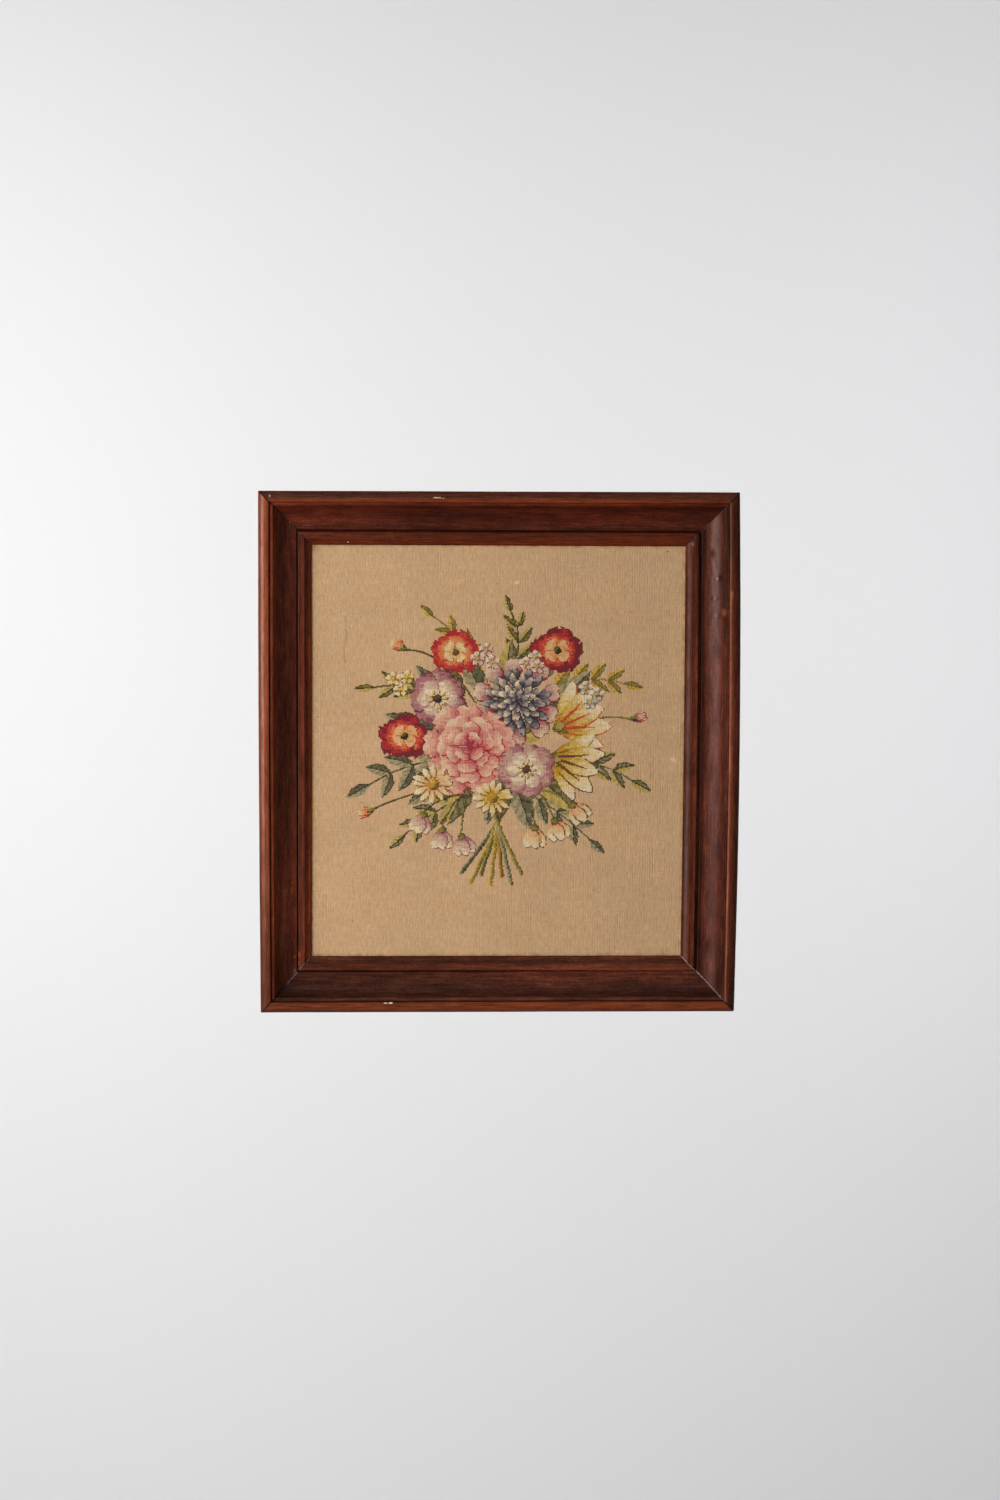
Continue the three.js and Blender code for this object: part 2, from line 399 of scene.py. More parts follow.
def bar(name, side, section, steps, grime_and_shade_at, seed, centre_x):
    """A mitred bar of the section, on its side of the frame."""
    section = np.array(section)
    along_way, inward_way = SIDES[side]
    long = frame_wide if side in ("top", "bottom") else frame_high
    reach = frame_high / 2 if side in ("top", "bottom") else frame_wide / 2
    ahead = np.roll(section, -1, 0) - np.roll(section, 1, 0)
    out = np.stack([-ahead[:, 1], ahead[:, 0]], 1) / np.hypot(*ahead.T)[:, None]
    girth = girth_of(section)
    parts_at = [row[0] / 1000 for row in FINISH_AND_PAINTED_LIGHT.values()]
    finish = np.array([row[1 + list(SIDES).index(side)] for row in FINISH_AND_PAINTED_LIGHT.values()])
    light, warm, rub = (np.interp(section[:, 0], parts_at, column) for column in finish.T)
    knocks = [metres(row, 4) for row in KNOCKS.get(name, [])]
    patches = [metres(row, 4) for row in PATCHES.get(name, [])]
    verts = []
    layers = {label: [] for label in LAYERS}
    for share in np.linspace(-1, 1, steps):
        for k, (across, high) in enumerate(section):
            along = share * (long / 2 - across - MITRE_CUT)
            lift = WAVE * drift(along, girth[k], WAVE_SPAN, seed)
            for at, at_across, size, deep in knocks:
                far = math.hypot(along - at, across - at_across) / size
                lift -= deep * math.exp(-far * far * 2)
            if high < FLAT_BACK_TO:
                lift = 0
            u = across + lift * out[k][0]
            h = max(0.0, high + lift * out[k][1])
            x = centre_x + along * along_way[0] - (reach - u) * inward_way[0]
            z = middle_z + along * along_way[1] - (reach - u) * inward_way[1]
            x, z = strayed(x, z)
            verts.append((x, frame_back - h, z))

            # How the finish looks there: stain, wear and grime, with painted light and shade
            rubbed = rub[k] if high > RUBBED_FROM else 0
            tint, tilt, shine = light[k], warm[k], VARNISH[side] + RUBBED_SHINE * rubbed
            dirt_and_shade = max(math.exp(-(((across - at) / wide) ** 2)) for at, wide in grime_and_shade_at)
            for at, at_across, far_along, far_across, lighter, warmer, glossier in patches:
                far = ((along - at) / far_along) ** 2 + ((across - at_across) / far_across) ** 2
                near = math.exp(-far)
                lighter = 1 + (lighter - 1) * near
                tint *= lighter
                rubbed *= min(lighter, 1.0)
                dirt_and_shade /= max(lighter, 1.0)
                tilt += warmer * near
                shine *= 1 + (glossier - 1) * near
            pale, pale_from = PALE_SEAM[side][0 if share < 0 else 1]
            layers["lay"].append((along, girth[k], seed))
            layers["stain_and_painted_light"].append((tint, tint * (1 - 0.5 * tilt), tint * (1 - tilt), 1.0))
            layers["varnish"].append(shine)
            layers["wear"].append(rubbed)
            layers["grime_and_shade"].append(dirt_and_shade)
            layers["joint"].append(long / 2 - across - abs(along))
            layers["seam"].append(pale * min(max((across - pale_from) / SEAM_FADE, 0.0), 1.0))
    count = len(section)
    faces = []
    for i in range(steps - 1):
        for k in range(count):
            n = (k + 1) % count
            faces.append((i * count + k, i * count + n, (i + 1) * count + n, (i + 1) * count + k))
    faces.append(tuple(range(count))[::-1])
    faces.append(tuple(range((steps - 1) * count, steps * count)))
    mesh = bpy.data.meshes.new(name + "_wood")
    mesh.from_pydata(verts, [], faces)
    for label, (kind, field, _) in LAYERS.items():
        layer = mesh.attributes.new(label, kind, "POINT")
        layer.data.foreach_set(field, np.array(layers[label], np.float32).ravel())
    mesh.shade_smooth()
    mesh.set_sharp_from_angle(angle=math.radians(SHARP_ANGLE))
    return put(name + "_wood", mesh)


def front_girth(section, across):
    """How far round a section its front face lies at a given distance across."""
    section = np.array(section)
    front = section[:, 1] > FRONT_FROM
    return float(girth_of(section)[np.argmin(np.where(front, abs(section[:, 0] - across), 1.0))])


def placed_marks(section_of, seeds):
    """The marks of the rails or of the slips, with their places in the grain's own measure."""
    placed = []
    for piece, seed in seeds.items():
        section = section_of(piece.split("_")[1])
        for row in MARKS.get(piece, []):
            along, across, long, wide, *look = metres(row, 4)
            placed.append(((along, front_girth(section, across), seed), (long, wide, MARK_DEEP), *look))
    return placed


def marked(tree, colour, place, marks):
    """Lays marks with ragged edges over a colour. Each has a place, its reach along each axis, its colour,
    how well it covers and how soft its edge is."""
    ragged = add(tree, "TexNoise", {"Vector": place, "Scale": RAGGED_SCALE, "Detail": 2.0})
    for at, reach, tint, cover, soft in marks:
        off = add(tree, "VectorMath", {0: place, 1: at}, operation="SUBTRACT")
        off = add(tree, "VectorMath", {0: off, 1: [1 / far for far in reach]}, operation="MULTIPLY")
        far = add(tree, "VectorMath", {0: off}, out="Value", operation="LENGTH")
        far = add(tree, "Math", {0: ragged, 1: RAGGED_BY, 2: far}, operation="MULTIPLY_ADD")
        share = add(tree, "MapRange", {0: far, 1: MARK_EDGE - soft, 2: MARK_EDGE, 3: cover, 4: 0.0})
        colour = add(tree, "Mix", {0: share, 6: colour, 7: linear(tint)}, out=2, data_type="RGBA")
    return colour


# The stain from its darkest to its reddest, and where each shade lies in the grain
STAIN_SHADES = (("#341107", 0.38), ("#501f10", 0.50), ("#6f2e18", 0.62))


def stained_mahogany(name, worn, marks):
    """Stained and varnished mahogany. Long fine fibres and short pores follow each rail. The stain carries
    painted light and shade for each side, lies darker in the quirks and grooves with grime and painted shade,
    is rubbed through to warmer wood on raised edges and has a satin varnish."""
    material = bpy.data.materials.new(name)
    tree = node_tree(material)
    lay, stain_and_painted_light, varnish, wear, grime_and_shade, joint, seam = (
        add(tree, "Attribute", out=LAYERS[label][2], attribute_name=label) for label in LAYERS
    )

    # Bands, fibres, pores, mottling and flecks, each by its length along the grain and width across it
    grain = {}
    for label, long, wide, rough in (
        ("band", 0.1200, 0.0070, 0.62),
        ("fibre", 0.0260, 0.0013, 0.66),
        ("pore", 0.0040, 0.0005, 0.55),
        ("mottle", 0.0023, 0.0020, 0.60),
        ("fleck", 0.0220, 0.0075, 0.70),
    ):
        scaled = add(tree, "VectorMath", {0: lay, 1: (1 / long, 1 / wide, 1)}, operation="MULTIPLY")
        look = {"Vector": scaled, "Scale": 1.0, "Detail": 4.0, "Roughness": rough, "Distortion": 0.3}
        grain[label] = add(tree, "TexNoise", look)
    mixed = add(tree, "Math", {0: grain["band"], 1: 0.30}, operation="MULTIPLY")
    for label, share in (("fibre", 0.42), ("fleck", 0.28)):
        mixed = add(tree, "Math", {0: grain[label], 1: share, 2: mixed}, operation="MULTIPLY_ADD")
    ramp = add(tree, "ValToRGB", {"Fac": mixed})
    stops = ramp.node.color_ramp.elements
    stops.new(0.5)
    for stop, (shade, position) in zip(stops, STAIN_SHADES):
        stop.position = position
        stop.color = linear(shade)

    # What comes of the grain and of the mitres: its source, the range it is read over, and what that becomes
    seen = {}
    for label, source, low, high, start, end in (
        ("pores", grain["pore"], 0.36, 0.48, 0.58, 1.04),
        ("mottle", grain["mottle"], 0.3, 0.7, 0.74, 1.26),
        ("rubbed", grain["fibre"], 0.35, 0.65, 0.25, 1.0),
        ("soot", joint, 0.0003, 0.0016, 0.75, 0.0),
        ("seam_highlight", joint, 0.0004, 0.0008, 1.0, 0.0),
        ("patchy", grain["mottle"], 0.42, 0.55, 0.2, 1.0),
        ("satin", grain["fibre"], 0.3, 0.7, 0.42, 0.56),
        ("uneven", grain["fleck"], 0.35, 0.65, 0.55, 1.45),
    ):
        seen[label] = add(tree, "MapRange", {0: source, 1: low, 2: high, 3: start, 4: end})
    rubbed = add(tree, "Math", {0: seen["rubbed"], 1: wear}, operation="MULTIPLY", use_clamp=True)
    dirty_and_shaded = add(tree, "Math", {0: grime_and_shade, 1: 0.8}, operation="MULTIPLY")
    seam_highlight = add(tree, "Math", {0: seen["seam_highlight"], 1: seam}, operation="MULTIPLY")
    seam_highlight = add(tree, "Math", {0: seam_highlight, 1: seen["patchy"]}, operation="MULTIPLY")

    # The colour: stain with its painted light and shade, pores, mottling and wear, then grime and painted
    # shade in the hollows
    colour = ramp
    for cover, over, blend in (
        (1.0, stain_and_painted_light, "MULTIPLY"),
        (1.0, seen["pores"], "MULTIPLY"),
        (1.0, seen["mottle"], "MULTIPLY"),
        (rubbed, linear(worn), "MIX"),
        (dirty_and_shaded, linear("#1a0806"), "MIX"),
    ):
        colour = add(tree, "Mix", {0: cover, 6: colour, 7: over}, out=2, data_type="RGBA", blend_type=blend)
    colour = marked(tree, colour, lay, marks)

    # The mitres: a dark hairline with soot beside it, and a pale painted highlight where the joint has opened
    for cover, over in ((seen["soot"], "#140907"), (seam_highlight, "#c9aaa4")):
        colour = add(tree, "Mix", {0: cover, 6: colour, 7: linear(over)}, out=2, data_type="RGBA")

    dull = add(tree, "Math", {0: grime_and_shade, 1: 0.2, 2: seen["satin"]}, operation="MULTIPLY_ADD")
    polish = add(tree, "Math", {0: varnish, 1: seen["uneven"]}, operation="MULTIPLY")
    relief = add(tree, "Math", {0: grain["fibre"], 1: 0.6, 2: seen["pores"]}, operation="MULTIPLY_ADD")
    bump = add(tree, "Bump", {"Height": relief, "Strength": 0.5, "Distance": 0.00014})
    look = {
        "Base Color": colour,
        "Roughness": dull,
        "Normal": bump,
        "Specular IOR Level": 0.06,
        "Coat Weight": polish,
        "Coat Roughness": 0.28,
    }
    shader = add(tree, "BsdfPrincipled", look)
    add(tree, "OutputMaterial", {"Surface": shader})
    return material


rail_seeds = {f"rail_{side}": 3.7 * number + 1 for number, side in enumerate(SIDES)}
rail_wood = stained_mahogany("stained_mahogany", "#9c4d23", placed_marks(rail_section, rail_seeds))
# Grime and painted shade along the quirk and in the groove beside the slip
rail_grime_and_shade = [(BEAD_WIDE + QUIRK_WIDE / 2, 0.0006), (COVE_TO[0] + 0.0009, 0.0009)]
for side in SIDES:
    name = f"rail_{side}"
    rail = bar(name, side, rail_section(side), 300, rail_grime_and_shade, rail_seeds[name], middle_x)
    rail.data.materials.append(rail_wood)
    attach(rail, "root")
    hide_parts(name)

# SLIPS
# A narrow inner moulding of the same wood, mitred by itself and seated in the rails' rebate. It has a flat
# face, a small hollow that runs down to the sight edge, and a lip with the cloth's margin behind it.
GROOVE_WIDE = 0.0016
SLIP_HIGH = 0.0145
SHOULDER_ROUND = 0.0012
SLIP_FACE_TO = 0.0421
SIGHT_FROM = (0.0423, 0.0143)
SIGHT_TO = (0.0479, 0.0109)
SIGHT_END_SLOPE = 4
SIGHT_EDGE = 0.0482
SIGHT_LIP_ROUND = 0.0003
SIGHT_LIP_BACK = 0.0096
SLIP_REBATE_FROM = 0.0376
SLIP_BACK = 0.0015
SEAT_GAP = 0.0003

# The four slips sit a little to the left in the rails, so the groove round them is wider on the right
slip_low, slip_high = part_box("slip_top")
slips_x = (slip_low.x + slip_high.x) / 2


def slip_section(side):
    """The section of a slip, measured as the rail's is. It is the same on every side."""
    tongue = REBATE_FROM + SEAT_GAP + middle_x - slips_x
    tongue_high = REBATE_HIGH - SEAT_GAP
    shoulder = COVE_TO[0] + LIP_ROUND + GROOVE_WIDE
    shoulder_centre = (shoulder + SHOULDER_ROUND, SLIP_HIGH - SHOULDER_ROUND)
    return [
        (tongue, SLIP_BACK),
        (tongue, tongue_high),
        (shoulder, tongue_high),
        *arc(shoulder_centre, SHOULDER_ROUND, 180, 90, STEPS["shoulder"]),
        (SLIP_FACE_TO, SLIP_HIGH),
        *cove(SIGHT_FROM, SIGHT_TO, SIGHT_END_SLOPE, STEPS["sight hollow"]),
        (SIGHT_EDGE, SIGHT_TO[1] - SIGHT_LIP_ROUND),
        (SIGHT_EDGE, SIGHT_LIP_BACK),
        (SLIP_REBATE_FROM, SIGHT_LIP_BACK),
        (SLIP_REBATE_FROM, SLIP_BACK),
    ]


slip_seeds = {f"slip_{side}": 5.3 * number + 21 for number, side in enumerate(SIDES)}
slip_wood = stained_mahogany("stained_slip_mahogany", "#86421f", placed_marks(slip_section, slip_seeds))
# Grime and painted shade in the groove and along the sight edge, where the slip meets the cloth
slip_grime_and_shade = [(COVE_TO[0] + 0.0010, 0.0015), (SIGHT_EDGE + 0.0001, 0.0006)]
for side in SIDES:
    name = f"slip_{side}"
    slip = bar(name, side, slip_section(side), 160, slip_grime_and_shade, slip_seeds[name], slips_x)
    slip.data.materials.append(slip_wood)
    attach(slip, "root")
    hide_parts(name)

# CLOTH
# A weft-faced wool tapestry, woven on cotton warps that stand up and down, its margins behind the slips. The
# posy is woven in with it, each yarn turned back at a warp, so its edges step.
# The loom is laid out in millimetres.
RIBS = 158
RIB_PITCH = 2.25
CELL_WIDE = RIB_PITCH / 2
PICK = 0.8
LOOM_WIDE = RIBS * RIB_PITCH
LOOM_HIGH = 392.8

# The dyes. The first is the ground's.
YARNS = {
    "camel": "#d9bc9c",
    "bark": "#33261f", "umber": "#6a4a33", "ochre dark": "#8a6a26", "mustard": "#c69c34", "straw": "#dabf68",
    "cream": "#e9d8ae", "ivory": "#f1e7d1", "peach": "#e8bd95", "apricot": "#dd9c6c", "coral": "#df7e54",
    "brick": "#c84c3a", "crimson": "#b42b36", "wine": "#7c2531", "rose deep": "#a53d50", "rose": "#c66d78",
    "rose mid": "#d8938f", "rose pale": "#e6b8a8", "blush": "#efd3bf", "plum": "#5e2f42",
    "mauve deep": "#8e5462", "mauve": "#b27c88", "lilac": "#cba69e", "pearl": "#dac4b5",
    "ink": "#35303a", "slate deep": "#524e60", "slate": "#787383", "slate pale": "#a29c9f", "mist": "#cdc1b0",
    "moss dark": "#45412a", "moss": "#6b6538", "olive": "#93863f", "sage": "#b3a45e", "lime": "#cfbb6c",
    "sea dark": "#413f31", "sea": "#67654e", "sea pale": "#8d8a6d", "sea mist": "#aea98a",
}
yarn_names = list(YARNS)

PINKS = ["rose deep", "rose", "rose mid", "rose pale", "blush"]
REDS = ["wine", "crimson", "brick", "coral", "apricot", "peach"]
CORALS = ["crimson", "brick", "coral", "apricot", "peach", "cream"]
SLATES = ["ink", "slate deep", "slate", "slate pale", "mist", "ivory"]
MAUVES = ["plum", "mauve deep", "mauve", "lilac", "pearl", "ivory"]
CREAMS = ["ochre dark", "mustard", "straw", "cream", "ivory"]
PEACHES = ["umber", "apricot", "peach", "cream", "ivory"]
LILACS = ["mauve deep", "mauve", "lilac", "pearl", "ivory"]
OLIVES = ["moss dark", "moss", "olive", "sage", "lime"]
SEAS = ["sea dark", "sea", "sea pale", "sea mist"]
MIXED = ["sea dark", "moss", "sea pale", "sage", "lime"]
GOLDS = ["moss", "olive", "mustard", "straw"]

columns = int(round(LOOM_WIDE / CELL_WIDE))
picks = int(LOOM_HIGH / PICK)
weaver = np.random.default_rng(7)
woven = np.zeros((picks, columns), np.uint8)
cell_x = (np.arange(columns) + 0.5) * CELL_WIDE - LOOM_WIDE / 2
cell_z = (np.arange(picks) + 0.5) * PICK - LOOM_HIGH / 2
# Each pass of weft turns back a little sooner or later than the last, and shades are hatched into each other,
# two picks high and five cells wide
HATCHED = 0.2
turn_back = weaver.uniform(-0.5, 0.5, picks // 2 + 1).repeat(2)[:picks]
hatch = weaver.random((picks // 2 + 1, columns // 5 + 1)).repeat(2, 0).repeat(5, 1)[:picks, :columns]


def window(x, z, reach):
    """The cells within reach of a point: where they are on the loom, and how far each lies across and up."""
    ends = np.array([-reach, reach])
    left, right = np.clip(((x + ends + LOOM_WIDE / 2) / CELL_WIDE).astype(int), 0, columns)
    low, high = np.clip(((z + ends + LOOM_HIGH / 2) / PICK).astype(int), 0, picks)
    cells = np.s_[low:high, left:right]
    across = cell_x[None, left:right] - x + turn_back[low:high, None]
    up = cell_z[low:high, None] - z + 0 * across
    return cells, across, up


def lay(cells, inside, tone, yarns):
    """Weaves the cells that are inside, each in the yarn its tone asks for, from dark at 0 to light at 1."""
    tone = tone + HATCHED * (hatch[cells] - 0.5)
    which = np.clip((tone * len(yarns)).astype(int), 0, len(yarns) - 1)
    codes = np.array([yarn_names.index(y) for y in yarns], np.uint8)
    woven[cells][inside] = codes[which][inside]


def along_and_side(across, up, turn, length, curl):
    """How far each cell lies along a bent line from its root, as a share of its length, and to its side."""
    a = math.radians(turn)
    along = (across * math.sin(a) + up * math.cos(a)) / length
    side = across * math.cos(a) - up * math.sin(a) - curl * length * along**2
    return along, side


# How strongly the light from the upper left and the fall towards an edge shade a petal, how many ripples
# frill it and how wide its drawn edge is. A leaf has a light and a dark half, veins, an edge and a midrib.
PETAL_LIT = 0.16
PETAL_FALL = 0.22
RIPPLES = 31
DRAWN_EDGE = 1.1
LEAF_FAT = 0.85
LEAF_LIGHT = 0.78
LEAF_DARK = 0.40
LEAF_VEINS = 0.10
LEAF_EDGE = 1.0
MIDRIB = 0.62


def petal(
    x, z, turn, length, width, yarns, fat=1.0, root=0.15, tip=0.85, notch=0.0, curl=0.0, frill=0.0, line=None
):
    """A petal from its root at x, z, `turn` clockwise from straight up. fat over 1 puts its widest part
    nearer the tip. Its lower right edge is drawn in the line yarn."""
    cells, across, up = window(x, z, length * 1.15 + abs(curl) * length)
    along, side = along_and_side(across, up, turn, length, curl)
    clipped = np.clip(along, 0, 1)
    ripple = 1 + frill * np.sin(clipped * RIPPLES + turn)
    half = width / 2 * np.sin(np.pi * clipped**fat) ** 0.7 * ripple + 1e-6
    end = 1 - notch * np.clip(1 - np.abs(side) / (width / 4), 0, 1)
    inside = (along > 0) & (along < end) & (np.abs(side) < half)
    share = side / half
    a = math.radians(turn)
    lit = -(share * math.cos(a) + (along - 0.5) * math.sin(a)) * PETAL_LIT
    tone = root + (tip - root) * along + lit - PETAL_FALL * np.abs(np.clip(share, -1, 1)) ** 5
    lay(cells, inside, tone, yarns)
    rim = np.minimum(half - np.abs(side), (end - along) * length)
    ahead = 2 * along - 1
    away = share * math.cos(a) + ahead * math.sin(a) - ahead * math.cos(a) + share * math.sin(a)
    shadow = inside & (rim < DRAWN_EDGE) & (away > -0.2) & (along > 0.25)
    lay(cells, shadow, np.zeros(tone.shape), [line or yarns[0]])


def leaf(x, z, turn, length, width, yarns, curl=0.0):
    """A pointed leaf with a dark midrib. One half is in the light, and the other ends in a dark edge."""
    cells, across, up = window(x, z, length * (1.1 + abs(curl)))
    along, side = along_and_side(across, up, turn, length, curl)
    clipped = np.clip(along, 0, 1)
    ripple = 1 + 0.07 * np.sin(clipped * 22)
    half = width / 2 * np.sin(np.pi * clipped**LEAF_FAT) ** LEAF_FAT * ripple + 1e-6
    share = side / half
    inside = (along > 0) & (along < 1) & (np.abs(share) < 1)
    a = math.radians(turn)
    lit_side = -1 if math.cos(a) - 0.6 * math.sin(a) > 0 else 1
    lit = np.where(share * lit_side > 0, LEAF_LIGHT, LEAF_DARK)
    veins = LEAF_VEINS * np.sin((clipped * 5 - np.abs(share) * 0.9) * 2 * math.pi)
    tone = lit + veins + 0.18 * (clipped - 0.5)
    lay(cells, inside, tone, yarns)
    edge = inside & ((half - np.abs(side)) < LEAF_EDGE) & (share * lit_side < 0)
    rib = inside & (np.abs(side) < MIDRIB) & (along < 0.9)
    lay(cells, edge | rib, np.zeros(tone.shape), [yarns[0]])


def stem(start, through, end, wide, yarns):
    """A stem along a bend, light on its left and dark on its right."""
    for x, z in bend(start, through, end, 80):
        cells, across, up = window(x, z, wide * 2)
        lay(cells, np.hypot(across, up) < wide / 2 + 0.2, 0.55 - across / wide * 0.9, yarns)


def disc(x, z, radius, yarns, light=0.5):
    """A round heart, lit from the upper left."""
    cells, across, up = window(x, z, radius * 1.3)
    far = np.hypot(across, up) / radius
    lay(cells, far < 1, light - 0.25 * (across - up) / radius - 0.25 * far**3, yarns)


def ring(x, z, size, yarns, count, start, length, width, first=0.0, squash=1.0, **more):
    """A ring of petals round a heart at x, z. Their start, length and width are shares of the bloom's size.
    squash under 1 tips the bloom back."""
    for k in range(count):
        a = math.radians(first + 360 * k / count + weaver.uniform(-6, 6))
        sx, sz = math.sin(a), math.cos(a) * squash
        reach = math.hypot(sx, sz)
        long = size * length * reach * weaver.uniform(0.92, 1.08)
        wide = size * width * (0.7 + 0.3 * reach)
        turn = math.degrees(math.atan2(sx, sz))
        petal(x + size * start * sx, z + size * start * sz, turn, long, wide, yarns, **more)


def peony(x, z, size, yarns, line):
    """A full round bloom: a frilled skirt, then cupped rings that close on a dark heart."""
    for up, count, start, long, wide, first, look in (
        (0.00, 9, 0.34, 0.68, 0.62, 0, {"fat": 1.7, "root": 0.0, "tip": 0.9, "notch": 0.12, "frill": 0.08}),
        (0.00, 7, 0.20, 0.56, 0.58, 24, {"fat": 1.7, "root": -0.1, "tip": 1.05, "notch": 0.1}),
        (0.04, 6, 0.08, 0.46, 0.46, 8, {"fat": 1.7, "root": -0.1, "tip": 0.9}),
        (0.07, 4, 0.02, 0.33, 0.38, 40, {"fat": 1.5, "root": -0.2, "tip": 1.05}),
        (0.09, 3, 0.00, 0.18, 0.20, 75, {"fat": 1.4, "root": -0.3, "tip": 0.6}),
    ):
        ring(x, z + size * up, size, yarns, count, start, long, wide, first=first, line=line, **look)


def dahlia(x, z, size, yarns, skirt):
    """A ring of broad outer petals behind rings of narrow florets, each lighter and shorter than the last."""
    ring(x, z, size, skirt, 10, 0.5, 0.72, 0.52, fat=1.6, root=0.0, tip=0.95, notch=0.1, line="wine")
    for count, start, long, wide, first, root, tip in (
        (15, 0.50, 0.42, 0.25, 0, 0.0, 0.75),
        (13, 0.32, 0.42, 0.23, 11, -0.05, 0.9),
        (10, 0.15, 0.40, 0.21, 3, 0.0, 1.05),
        (7, 0.02, 0.32, 0.19, 16, -0.05, 1.0),
        (4, 0.00, 0.14, 0.13, 30, 0.0, 0.6),
    ):
        ring(x, z, size, yarns, count, start, long, wide, first=first, fat=1.1, root=root, tip=tip)


def poppy(x, z, size, yarns, squash=0.85, heart="bark"):
    """Wide crumpled petals, dark at the rim and pale inside, with a dark heart in a ring of stamens."""
    for count, long, wide, first, look in (
        (5, 1.00, 1.100, 45, {"fat": 1.9, "root": 0.55, "tip": 0.0, "frill": 0.12, "notch": 0.14}),
        (4, 0.76, 0.814, 10, {"fat": 1.8, "root": 1.1, "tip": 0.2, "frill": 0.12, "notch": 0.1}),
        (4, 0.50, 0.550, 50, {"fat": 1.6, "root": 0.6, "tip": 1.1, "line": "brick"}),
    ):
        ring(x, z, size, yarns, count, 0, long, wide, first=first, squash=squash, **look)
    for k in range(9):
        a = 2 * math.pi * k / 9
        disc(x + size * 0.21 * math.cos(a), z + size * 0.19 * math.sin(a), 1.2, ["straw"])
    disc(x, z, size * 0.14, [heart, "moss", "sage"], light=0.35)


def daisy(x, z, size, yarns):
    """Narrow rays round a small domed heart."""
    ring(x, z, size, yarns, 12, 0.12, 0.9, 0.34, squash=0.9, fat=1.4, root=0.25, tip=1.0, line="ochre dark")
    disc(x, z, size * 0.27, ["umber", "ochre dark", "mustard", "straw"], light=0.6)


def windflower(x, z, size, yarns, heart):
    """Round overlapping petals, pale at the root and dark at the rim, with an eye in a ring of stamens."""
    rim = {"fat": 1.6, "root": 0.75, "tip": 0.28, "notch": 0.08, "frill": 0.05}
    ring(x, z, size, yarns, 7, 0.05, 0.97, 0.85, first=10, **rim)
    ring(x, z, size, yarns, 6, 0.04, 0.66, 0.6, first=32, fat=1.5, root=1.05, tip=0.62, line="mauve")
    stamens = ["mustard", "cream"]
    ring(x, z, size, stamens, 9, 0.08, 0.3, 0.11, first=12, root=0.4, tip=1.0, line="ochre dark")
    disc(x, z, size * 0.15, [heart, "umber", "ochre dark"], light=0.45)


def speckle(x, z, size, yarns):
    """A small five-petalled flower."""
    ring(x, z, size, yarns, 5, 0.3 / size, 1, 0.9, fat=1.6, root=0.35, tip=1.0)
    disc(x, z, size * 0.28, ["ochre dark", "straw"], light=0.6)


def trumpet(x, z, turn, size, yarns, streak):
    """A lily from the side: a long throat that opens into pointed petals which curl back."""
    for lean, curl, long, wide in (
        (-30, -0.22, 0.88, 0.30),
        (30, 0.22, 0.88, 0.30),
        (-15, -0.10, 1.00, 0.34),
        (15, 0.10, 1.00, 0.34),
        (0, 0.00, 0.94, 0.34),
    ):
        long, wide = size * long, size * wide
        petal(x, z, turn + lean, long, wide, yarns, fat=1.3, root=-0.05, tip=1.05, curl=curl, line=streak)
    for lean, curl in ((-15, -0.1), (0, 0), (15, 0.1)):
        petal(x, z, turn + lean, size * 0.72, size * 0.045, [streak], fat=0.9, curl=curl)
    petal(x, z, turn, size * 0.24, size * 0.17, OLIVES, fat=0.8, root=0.3, tip=0.9)


def bell(x, z, turn, size, yarns, hung_from):
    """A hanging bell on its own stalk: three lobes and a green cap."""
    stem(hung_from, ((x + hung_from[0]) / 2, max(z, hung_from[1]) + 4), (x, z), 1.3, OLIVES[:3])
    for lean in (-20, 20, 0):
        petal(x, z, turn + lean, size, size * 0.5, yarns, fat=1.5, root=0.1, tip=1.0)
    petal(x, z, turn, size * 0.3, size * 0.35, OLIVES, fat=0.8, root=0.2, tip=0.7)


def bud(x, z, turn, size, yarns):
    """A closed bud in its green cup."""
    for lean in (-10, 10, 0):
        petal(x, z, turn + lean, size, size * 0.42, yarns, fat=1.1, root=0.1, tip=0.95)
    for lean in (-22, 22, 0):
        petal(x, z, turn + lean, size * 0.5, size * 0.2, OLIVES, fat=0.8, root=0.3, tip=0.9)


def spray(start, through, end, leaves, length, width, greens):
    """Leaves in pairs along a bent stalk, with one at its end."""
    line = bend(start, through, end, leaves + 2)
    stem(start, through, end, 1.4, greens[:3])
    for k in range(1, leaves + 1):
        ahead = line[k + 1] - line[k - 1]
        way = math.degrees(math.atan2(ahead[0], ahead[1]))
        shrink = 1 - 0.4 * k / (leaves + 1)
        for hand in (-1, 1):
            out = way + hand * (46 + weaver.uniform(-8, 8))
            leaf(*line[k], out, length * shrink, width * shrink, greens, curl=-0.16 * hand)
    last = line[-1] - line[-2]
    leaf(*line[-1], math.degrees(math.atan2(last[0], last[1])), length * 0.72, width * 0.66, greens)


# Stalks gathered low in the middle, which spread below: the foot of each, and its yarns
for x, z, yarns in (
    (-33, -110, SEAS),
    (-24, -119, GOLDS),
    (-15, -112, OLIVES[:4]),
    (-6, -121, GOLDS),
    (4, -113, ["umber", "ochre dark", "mustard"]),
    (13, -120, SEAS),
    (22, -111, OLIVES[:4]),
):
    stem((x * -0.5, -34), (x * 0.1, -74), (x, z), 3.4, yarns)

